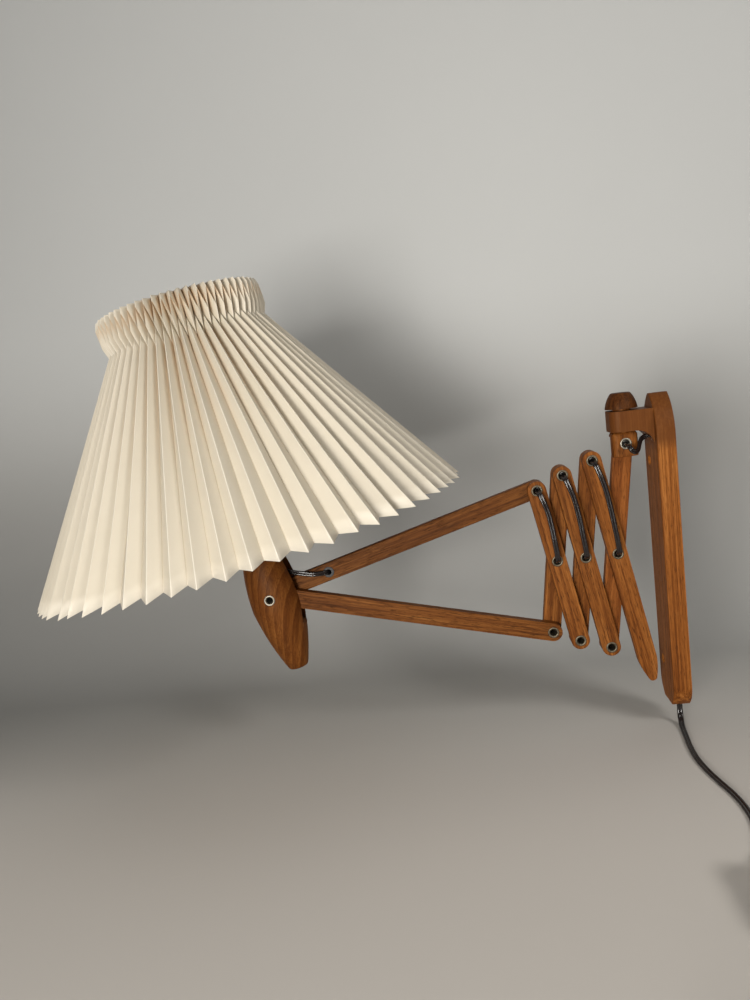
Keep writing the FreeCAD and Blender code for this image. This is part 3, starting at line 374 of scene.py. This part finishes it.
PLAIN = {
    "cable_ferrule": MAT_PLASTIC, "cord_clamp": MAT_STEEL, "cord_clamp_screws": MAT_STEEL, "threaded_nipple": MAT_BRASS,
    "lampholder_cap": MAT_BAKELITE, "lampholder_sleeve": MAT_BAKELITE, "shade_ring": MAT_BAKELITE, "terminal_block": MAT_CERAMIC,
    "centre_contact": MAT_BRASS, "bulb_cap": MAT_CAP, "bulb_glass": MAT_OPAL, "shade_carrier": MAT_STEEL, "plug_body": MAT_PLASTIC,
    "plug_pins": MAT_BRASS, "cord_switch_base": MAT_PLASTIC, "cord_switch_cover": MAT_PLASTIC, "cord_switch_rocker": MAT_PLASTIC,
}


def dress(node, mat):
    o = NODES[node]
    o.data.materials.clear()
    o.data.materials.append(mat)


for node, mat in list(WOODS.items()) + list(PLAIN.items()):
    dress(node, mat)
for node, width in (("wall_plate", 0.0009), ("scissor_arm_front_1", 0.0008), ("long_arm_lower", 0.0008), ("swivel_block", 0.0006),
                    ("shade_holder", 0.0006)):
    o = NODES[node]
    weld = o.modifiers.new("weld", "WELD")
    weld.merge_threshold = 0.000004
    bev = o.modifiers.new("soft_edges", "BEVEL")
    bev.width = width
    bev.segments = 3
    bev.limit_method = "ANGLE"
    bev.angle_limit = math.radians(38)
    bev.use_clamp_overlap = True
    bev.harden_normals = False


# ---------------------------------------------------------------- mesh helpers
def new_mesh(name, verts, faces, mat, smooth=True, sharp=None):
    me = bpy.data.meshes.new(name)
    me.from_pydata([tuple(v) for v in verts], [], faces)
    me.validate()
    me.materials.append(mat)
    if smooth:
        me.polygons.foreach_set("use_smooth", [True] * len(me.polygons))
    if sharp is not None:
        me.set_sharp_from_angle(angle=math.radians(sharp))
    o = bpy.data.objects.new(name, me)
    bpy.context.scene.collection.objects.link(o)
    return o


def spline_points(points, per=10):
    """The points of the smooth NURBS line whose control points are given, as Blender evaluates it."""
    cu = bpy.data.curves.new("route", "CURVE")
    cu.dimensions = "3D"
    sp = cu.splines.new("NURBS")
    sp.points.add(len(points) - 1)
    for p, co in zip(sp.points, points):
        p.co = (co[0], co[1], co[2], 1.0)
    sp.order_u = 3
    sp.use_endpoint_u = True
    sp.resolution_u = per
    o = bpy.data.objects.new("route", cu)
    bpy.context.scene.collection.objects.link(o)
    bpy.context.view_layer.update()
    me = bpy.data.meshes.new_from_object(o)
    line = [v.co.copy() for v in me.vertices]
    bpy.data.objects.remove(o)
    bpy.data.curves.remove(cu)
    bpy.data.meshes.remove(me)
    clean = [line[0]]
    for v in line[1:]:
        if (v - clean[-1]).length > 1e-6:
            clean.append(v)
    return clean


def twin_section(core, gap):
    """Outline of two round cores side by side with a thin web between them."""
    ring = []
    first = math.asin(min(0.999, 0.42))
    for side in (1, -1):
        for k in range(11):
            a = -math.pi + first + (2 * math.pi - 2 * first) * k / 10.0
            if side == 1:
                ring.append((gap + core * math.cos(a), core * math.sin(a)))
            else:
                ring.append((-gap - core * math.cos(a), -core * math.sin(a)))
    return ring


def tangents(line):
    out = []
    for k in range(len(line)):
        a, b = line[max(0, k - 1)], line[min(len(line) - 1, k + 1)]
        out.append((b - a).normalized())
    return out


def sweep(name, line, laterals, section, mat):
    verts, faces = [], []
    tan = tangents(line)
    n = len(section)
    for p, t, l in zip(line, tan, laterals):
        l = (l - t * l.dot(t)).normalized()
        b = t.cross(l)
        for u, v in section:
            verts.append(p + l * (u / 1000.0) + b * (v / 1000.0))
    for k in range(len(line) - 1):
        for j in range(n):
            a, b2 = k * n + j, k * n + (j + 1) % n
            faces.append((a, b2, b2 + n, a + n))
    for k, flip in ((0, True), (len(line) - 1, False)):
        ids = [k * n + j for j in range(n)]
        faces.append(tuple(reversed(ids)) if flip else tuple(ids))
    return new_mesh(name, verts, faces, mat, True, 50)


def carried(line, start):
    """Sideways directions that follow the line with the least twist."""
    out, tan = [], tangents(line)
    l = start
    for t in tan:
        l = (l - t * l.dot(t)).normalized()
        out.append(l.copy())
    return out


# ---------------------------------------------------------------- supply flex with its coil, switch and plug
FLOOR = -142.3
LOW, EDGE = FLOOR + 1.2, FLOOR + 2.35
supply = [(6, -7, -125.2), (6, -7.1, -131), (9.4, -7.8, -137.8), (18, -9.2, LOW), (33.5, -11, LOW), (51.5, -13.4, LOW), (69.5, -14.2, LOW),
          (87, -12.6, LOW), (103, -9.7, LOW), (119, -6.2, LOW), (136, -4.6, LOW), (153, -5.6, LOW), (170, -9.4, LOW), (184, -13.6, -140.4),
          (195, -16.2, -135.9), (205, -17, -132.9), (236, -17, -132.9), (267, -17, -132.9), (277, -16.6, -136.5), (289, -14.4, -140.0),
          (303, -10.2, EDGE), (314, -7.0, EDGE)]
COIL = (336.0, -36.0)
PER = 14
turns = [(0.0, 31.6, 0), (0.35, 30.4, 0), (1.0, 30.2, 0), (1.25, 27.0, 0), (2.0, 26.5, 0), (2.25, 23.2, 0), (3.0, 22.6, 0), (3.3, 19.8, 0), (3.9, 19.7, 0),
         (4.15, 19.7, 1), (4.9, 20.0, 1), (5.2, 23.4, 1), (5.9, 23.0, 1), (6.2, 26.7, 1), (6.9, 26.2, 1), (7.2, 30.1, 1), (7.75, 30.3, 1),
         (8.0, 29.0, 2), (8.35, 27.2, 2), (8.85, 27.4, 2), (9.15, 29.8, 1.45), (9.39, 34.2, 0.15)]
START = math.radians(110.0)


def along_turns(share):
    for a, b in zip(turns, turns[1:]):
        if a[0] <= share <= b[0]:
            f = (share - a[0]) / (b[0] - a[0])
            f = f * f * (3 - 2 * f)
            return a[1] + (b[1] - a[1]) * f, a[2] + (b[2] - a[2]) * f
    return turns[-1][1], turns[-1][2]


swell = 1.0 / math.cos(math.pi / PER)
count = int(9.39 * PER)
for k in range(count + 1):
    share = k / PER
    radius, layer = along_turns(share)
    radius = radius * swell + 0.25 * math.sin(share * 2 * math.pi * 1.31 + 0.7)
    a = START - share * 2 * math.pi
    supply.append((COIL[0] + radius * math.cos(a), COIL[1] + radius * math.sin(a), EDGE + layer * 4.62 + 0.05))
supply += [(370.0, -56.5, -140.2), (373.6, -63.0, -138.0), (376.0, -69.2, -135.7), (376.1, -73.8, -135.6)]
supply_line = spline_points([mm(*p) for p in supply], 8)
lat = []
for k, p in enumerate(supply_line):
    t = tangents(supply_line[max(0, k - 1):k + 2])[min(k, 1)]
    flat = Vector((-t.y, t.x, 0.0))
    if abs(t.z) > 0.80 or flat.length < 0.05:
        flat = Vector((0, 1, 0))
    flat.normalize()
    r = math.hypot(p.x * 1000 - COIL[0], p.y * 1000 - COIL[1])
    side = min(1.0, max(0.0, (p.x * 1000 - 286.0) / 22.0)) if p.x * 1000 < 310 and p.z < -0.1375 else (1.0 if p.x * 1000 >= 308 else 0.0)
    left = max(0.0, (-p.y * 1000 - 50.0) / 16.0) if (p.x * 1000 > 362 and p.z < -0.134 and k > len(supply_line) - 60) else 0.0
    side = max(0.0, side - min(1.0, left))
    a = side * math.pi / 2
    lat.append(flat * math.cos(a) + Vector((0, 0, 1)) * math.sin(a))
for _ in range(4):
    lat = [lat[0]] + [(lat[k - 1] + lat[k] * 2 + lat[k + 1]).normalized() for k in range(1, len(lat) - 1)] + [lat[-1]]
cord = sweep("supply_flex", supply_line, lat, twin_section(1.15, 1.13), MAT_FLEX)
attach(cord, "wall")
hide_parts("supply_cord", "supply_cord_to_coil", "supply_cord_coil", "supply_cord_end")


# ---------------------------------------------------------------- flex along the linkage
ARM_SECTION = twin_section(1.04, 1.02)


def perp(a, b):
    d = Vector((0, -(b[0] - a[0]), b[1] - a[1])).normalized()
    return Vector((0, d.z, -d.y))


def arm_flex(name, upper, lower, side, body):
    x, bow = (12.4, 3.6) if side > 0 else (-11.5, -1.3)
    far = 0.2 if side > 0 else -0.2
    l = perp(upper, lower)
    lean = 3.0 if side > 0 else 1.2

    def on(share, out_x, sideways):
        p = at((upper[0] + (lower[0] - upper[0]) * share, upper[1] + (lower[1] - upper[1]) * share), out_x)
        return p - l * (sideways / 1000.0)
    line = spline_points([at(upper, far), at(upper, x + 0.15 * bow), on(0.10, x + 0.72 * bow, 0.5 * lean), on(0.28, x + 0.92 * bow, lean),
                          on(0.52, x + 1.18 * bow, 0.8 * lean), on(0.76, x + 1.50 * bow, 0.35 * lean), on(0.93, x + 1.42 * bow, 0.05 * lean),
                          at(lower, x), at(lower, far)], 14)
    o = sweep(name.replace("cable", "flex"), line, [l] * len(line), ARM_SECTION, MAT_FLEX)
    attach(o, body)
    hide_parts(name)


arm_flex("cable_back_1", P0, M1, -1, "back_arm_1")
arm_flex("cable_front_1", T1, M1, 1, "front_arm_1")
arm_flex("cable_back_2", T1, M2, -1, "back_arm_2")
arm_flex("cable_front_2", T2, M2, 1, "front_arm_2")
arm_flex("cable_back_3", T2, M3, -1, "back_arm_3")
arm_flex("cable_front_3", T3, M3, 1, "front_arm_3")


def flex(name, points, start, body=None, fixed=False):
    line = spline_points(points, 14)
    o = sweep(name.replace("cable", "flex"), line, [start] * len(line) if fixed else carried(line, start), ARM_SECTION, MAT_FLEX)
    if body:
        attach(o, body)
    else:
        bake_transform(o)
    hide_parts(name)
    return o


run = [at(T3, -0.2), at(T3, -11.5)]
for share, dx, dz in ((0.17, -1.2, 0.6), (0.36, -0.3, -0.8), (0.55, -1.3, 0.5), (0.74, -0.2, -0.6), (0.89, -0.9, 0.5)):
    run.append(mm(-11.5 + dx, -(T3[0] + (H[0] - T3[0]) * share), T3[1] + (H[1] - T3[1]) * share + dz))
run += [at(H, -11.5), at(H, 3.5), mm(3.9, -(H[0] + 12.5), H[1] + 0.2)]
side_dir = perp(T3, H)
flex("cable_upper", run, side_dir, "upper_long_arm", fixed=True)
flex("cable_tilt_loop", [mm(3.9, -(H[0] + 13), H[1] + 0.2), mm(3.8, -(H[0] + 21), H[1] + 1.6), head(1.9, 15.2, 16.0), head(1.35, 9.6, 20.9)],
     side_dir)
flex("cable_head", [head(1.2, 9, 21.5), head(0.4, 4.2, 27.6), head(0, 0.6, 34.5), head(0, 0, 44), head(0, 0, 55)], side_dir, "lamp_head")
flex("cable_swivel_loop", [mm(6, -18.5, 92.8), mm(6.1, -21.8, 92.4), mm(9.2, -24.6, 88.4), mm(13.6, -26.6, 84.2), mm(18, -30, 82.6),
                           mm(20.4, -33.6, 84.8), mm(17.6, -34.9, 89.1), mm(0.2, -34.5, 89)], Vector((0.3, 0, 1)).normalized())
flex("cable_plate", [mm(6, -18, 92.8), mm(6, -7, 92.8), mm(6.25, -7.1, 40), mm(5.75, -7, -14), mm(6.2, -7.1, -66), mm(6, -7, -124.9)],
     Vector((1, 0, 0)), "wall")


# ---------------------------------------------------------------- rolled tubular rivets
def rolled(node, body):
    lo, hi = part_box(node)
    cy, cz = (lo.y + hi.y) / 2, (lo.z + hi.z) / 2
    x0, x1 = lo.x * 1000 + 0.45, hi.x * 1000 - 0.45
    lip = [(-1.6, 2.45), (-0.7, 2.52), (-0.1, 2.72), (0.24, 2.98), (0.42, 3.30), (0.50, 3.68), (0.45, 4.04), (0.30, 4.32), (0.10, 4.46), (0.0, 4.48)]
    prof = [(x1 + a, r) for a, r in lip] + [(x1 - 0.01, 2.9), (x1 - 0.3, 2.87), (x0 + 0.3, 2.87), (x0 + 0.01, 2.9)]
    if "lower" in node:
        prof += [(x0, 4.48), (x0 - 0.12, 4.44), (x0 - 0.30, 4.22), (x0 - 0.42, 3.7), (x0 - 0.45, 2.4), (x0 - 0.40, 0.12), (x0 + 1.5, 0.12), (x0 + 1.5, 2.2), (x0 + 1.8, 2.45)]
    else:
        prof += [(x0 - a, r) for a, r in reversed(lip)]
    seg = 40
    verts, faces = [], []
    for k in range(seg):
        a = 2 * math.pi * k / seg
        for x, r in prof:
            verts.append(Vector((x / 1000, cy + r / 1000 * math.cos(a), cz + r / 1000 * math.sin(a))))
    n = len(prof)
    for k in range(seg):
        for j in range(n):
            a, b = k * n + j, k * n + (j + 1) % n
            c, d = ((k + 1) % seg) * n + (j + 1) % n, ((k + 1) % seg) * n + j
            faces.append((a, d, c, b))
    if "lower" in node:
        # the closed foot of a semi-tubular rivet
        for j in (n - 4, n - 3):
            faces.append(tuple(k * n + j for k in (range(seg) if j == n - 4 else reversed(range(seg)))))
        faces = [f for f in faces if not (len(f) == 4 and {i % n for i in f} == {n - 4, n - 3})]
    o = new_mesh("eyelet_" + node.split("rivet_")[1], verts, faces, MAT_PALE if node in ("rivet_head", "rivet_swivel") else MAT_METAL, True, 40)
    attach(o, body)
    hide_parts(node)


for node, body in (("rivet_swivel", "swivel"), ("rivet_head", "lamp_head")):
    rolled(node, body)
for k in (1, 2, 3):
    rolled("rivet_middle_%d" % k, "back_arm_%d" % k)
    rolled("rivet_lower_%d" % k, "back_arm_%d" % k)
    rolled("rivet_upper_%d" % k, "front_arm_%d" % k)


# ---------------------------------------------------------------- pleated shade
PLEATS = 62
STEPS = [0.0, 0.03, 0.25, 0.5, 0.75, 0.97]
BODY, COLLAR = 16, 7


def build_shade():
    ridge, valley = [], []
    step = 2 * math.pi / PLEATS
    for k in range(PLEATS):
        ja, jb = rng.uniform(-0.045, 0.045), rng.uniform(-0.045, 0.045)
        a = math.radians(1.7) + (k + ja) * step
        b = math.radians(1.7) + (k + 0.5 + jb) * step
        dr, dh = rng.uniform(-1.0, 1.0), rng.uniform(-0.7, 0.7)
        an, bn = math.radians(1.7) + (k + 0.5 * ja) * step, math.radians(1.7) + (k + 0.5 + 0.5 * jb) * step
        jit = lambda s: rng.uniform(-s, s)
        ridge.append([(a, 174.6 + dr, 52.0 + dh), (an, 57.05 + jit(0.5), 229.0 + jit(0.8)), (an, 66.1 + jit(0.5), 242.0 + jit(0.6)),
                      (an, 64.6 + jit(0.4), 246.4 + jit(0.3))])
        valley.append([(b, 164.5 + 0.5 * dr + jit(0.8), 54.7 + 0.6 * dh), (bn, 60.45 + jit(0.5), 210.0 + jit(0.8)), (bn, 65.9 + jit(0.5), 227.5 + jit(0.8)),
                       (bn, 54.6 + jit(0.6), 246.5 + jit(0.3))])

    def col(ends, bend):
        """Points down one fold line, from the rim to the top edge, with the heights' shares."""
        out = []
        pts = [Vector((r * math.cos(a), r * math.sin(a), h)) for a, r, h in ends]
        for j in range(BODY):
            f = j / BODY
            p = pts[0].lerp(pts[1], f)
            out.append((p, f * 0.86))
        for j in range(COLLAR):
            out.append((pts[1].lerp(pts[2], j / COLLAR), 0.86 + 0.10 * j / COLLAR))
        for j in range(COLLAR + 1):
            out.append((pts[2].lerp(pts[3], j / COLLAR), 0.96 + 0.04 * j / COLLAR))
        return out

    R = [col(r, 0) for r in ridge]
    W = [col(v, 0) for v in valley]
    rows = len(R[0])
    verts, fold, rise, edge, painted_crest_highlight = [], [], [], [], []
    for k in range(2 * PLEATS):
        left = R[k // 2] if k % 2 == 0 else W[k // 2]
        other = W[k // 2] if k % 2 == 0 else R[(k // 2 + 1) % PLEATS]
        bow = rng.uniform(-0.55, 0.55)
        twist = rng.uniform(-0.3, 0.3)
        wave = rng.uniform(0, math.pi)
        for u in STEPS:
            for j in range(rows):
                p, s = left[j]
                q, _ = other[j]
                v = p.lerp(q, u)
                d = q - p
                nrm = Vector((d.y, -d.x, 0.0))
                if nrm.length > 0:
                    nrm.normalize()
                lift = 4 * u * (1 - u)
                body = min(1.0, j / BODY)
                amount = lift * (bow * math.sin(math.pi * min(1.0, body * 0.9 + 0.05)) + twist * math.sin(3 * body + wave)) * min(1.0, d.length / 9.0)
                v = v + nrm * amount
                # folds are pressed, not razor sharp
                if u == 0.0 and j < BODY:
                    inward = -1.0 if k % 2 == 0 else 1.0
                    v = v + Vector((v.x, v.y, 0)).normalized() * (inward * 0.16)
                verts.append(head(v.x, v.y, v.z))
                ridge_share = (1 - u) if k % 2 == 0 else u
                if j <= BODY:
                    depth = 1 - ridge_share
                elif j <= BODY + COLLAR:
                    depth = ridge_share * 0.8 + 0.1
                else:
                    depth = (1 - ridge_share)
                fold.append(depth)
                rise.append(s)
                edge.append(1.0 if j in (0, rows - 1) else 0.0)
                # flags the ridge lines that get the painted highlight
                painted_crest_highlight.append(1.0 if u == 0.0 and (k % 2 == 0 or j > BODY) else 0.0)
    cols = 2 * PLEATS * len(STEPS)
    faces = []
    for c in range(cols):
        c2 = (c + 1) % cols
        for j in range(rows - 1):
            faces.append((c * rows + j, c2 * rows + j, c2 * rows + j + 1, c * rows + j + 1))
    o = new_mesh("pleated_paper_shade", verts, faces, MAT_PLEAT, True, 7)
    for name, data in (("fold", fold), ("rise", rise), ("edge", edge), ("painted_crest_highlight", painted_crest_highlight)):
        att = o.data.attributes.new(name, "FLOAT", "POINT")
        att.data.foreach_set("value", data)
    thick = o.modifiers.new("sheet", "SOLIDIFY")
    thick.thickness = 0.00038
    thick.offset = 0.0
    thick.use_even_offset = False
    return o


shade = build_shade()
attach(shade, "lamp_head")
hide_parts("pleated_shade")


# ---------------------------------------------------------------- stage
def stage_material():
    m, t = material("studio_paper")
    tc = add(t, "ShaderNodeTexCoord")
    n1 = noise(t, tc.outputs["Object"], 3.0, 3.0, 0.5)
    n2 = noise(t, tc.outputs["Object"], 900.0, 2.0, 0.5)
    col = mix_color(t, n1, (0.545, 0.553, 0.545), (0.575, 0.584, 0.575))
    sep = add(t, "ShaderNodeSeparateXYZ")
    t.links.new(tc.outputs["Object"], sep.inputs["Vector"])
    # painted shade: the sweep is painted darker from 0.27 m height down to 0, and the floor below stays at that darker
    # tone
    low = add(t, "ShaderNodeMapRange", interpolation_type="SMOOTHSTEP")
    low.inputs["From Min"].default_value = 0.0
    low.inputs["From Max"].default_value = 0.27
    t.links.new(sep.outputs["Z"], low.inputs["Value"])
    col = mix_color(t, low.outputs["Result"], (0.352, 0.350, 0.338), col)
    # painted light: the floor is painted paler and warmer towards the camera, from x -0.2 m to +0.2 m
    painted_floor_light = add(t, "ShaderNodeMapRange", interpolation_type="SMOOTHSTEP")
    painted_floor_light.inputs["From Min"].default_value = -0.20
    painted_floor_light.inputs["From Max"].default_value = 0.20
    t.links.new(sep.outputs["X"], painted_floor_light.inputs["Value"])
    col = mix_color(t, painted_floor_light.outputs["Result"], col, (0.620, 0.585, 0.540))
    p, o = finish_shader(t, col, 0.85, bump(t, n2, 0.08, 0.0001), Specular_IOR_Level=0.15)
    geo = add(t, "ShaderNodeNewGeometry")
    clear = add(t, "ShaderNodeBsdfTransparent")
    mixer = add(t, "ShaderNodeMixShader")
    t.links.new(geo.outputs["Backfacing"], mixer.inputs["Fac"])
    t.links.new(p.outputs["BSDF"], mixer.inputs[1])
    t.links.new(clear.outputs["BSDF"], mixer.inputs[2])
    t.links.new(mixer.outputs["Shader"], o.inputs["Surface"])
    return m


def build_stage():
    z0, x_back, radius = FLOOR / 1000.0, -0.36, 0.22
    prof = [(3.0, z0), (1.2, z0), (0.4, z0), (x_back + radius, z0)]
    for k in range(1, 16):
        a = math.pi / 2 * k / 16
        prof.append((x_back + radius - radius * math.sin(a), z0 + radius - radius * math.cos(a)))
    prof += [(x_back, z0 + radius), (x_back, 1.0), (x_back, 2.6)]
    ys = [-3.0, -1.0, 0.0, 1.0, 3.0]
    verts = [(x, y, z) for x, z in prof for y in ys]
    n = len(ys)
    faces = []
    for i in range(len(prof) - 1):
        for j in range(n - 1):
            faces.append((i * n + j, i * n + j + 1, (i + 1) * n + j + 1, (i + 1) * n + j))
    o = new_mesh("studio_sweep", verts, faces, stage_material(), True)
    return o


sweep_stage = build_stage()


def area(name, place, target, size, watts, color, tall=None, spread=180.0):
    data = bpy.data.lights.new(name, "AREA")
    data.shape = "DISK" if tall is None else "RECTANGLE"
    data.size = size
    if tall is not None:
        data.size_y = tall
    data.spread = math.radians(spread)
    data.energy = watts
    data.color = color
    o = bpy.data.objects.new(name, data)
    bpy.context.scene.collection.objects.link(o)
    o.location = place
    o.rotation_euler = (Vector(target) - Vector(place)).to_track_quat("-Z", "Y").to_euler()
    return o


area("key_left", (1.30, -0.54, 0.12), (-0.36, 0.04, 0.07), 0.40, 7.9, (1.0, 0.965, 0.915), 0.44, 120.0)
area("fill_right", (1.00, 0.86, 0.95), (-0.36, -0.42, 0.03), 0.46, 5.0, (1.0, 0.97, 0.93), 0.60, 120.0)
area("overhead", (0.10, -0.25, 1.6), (0.0, -0.20, 0.0), 1.4, 2.7, (1.0, 0.985, 0.96))
world = bpy.data.worlds.new("studio")
world.use_nodes = True
bg = world.node_tree.nodes["Background"]
bg.inputs["Color"].default_value = (0.50, 0.49, 0.47, 1.0)
bg.inputs["Strength"].default_value = 0.10
bpy.context.scene.world = world
bpy.context.scene.view_settings.view_transform = "Standard"
bpy.context.scene.view_settings.look = "None"
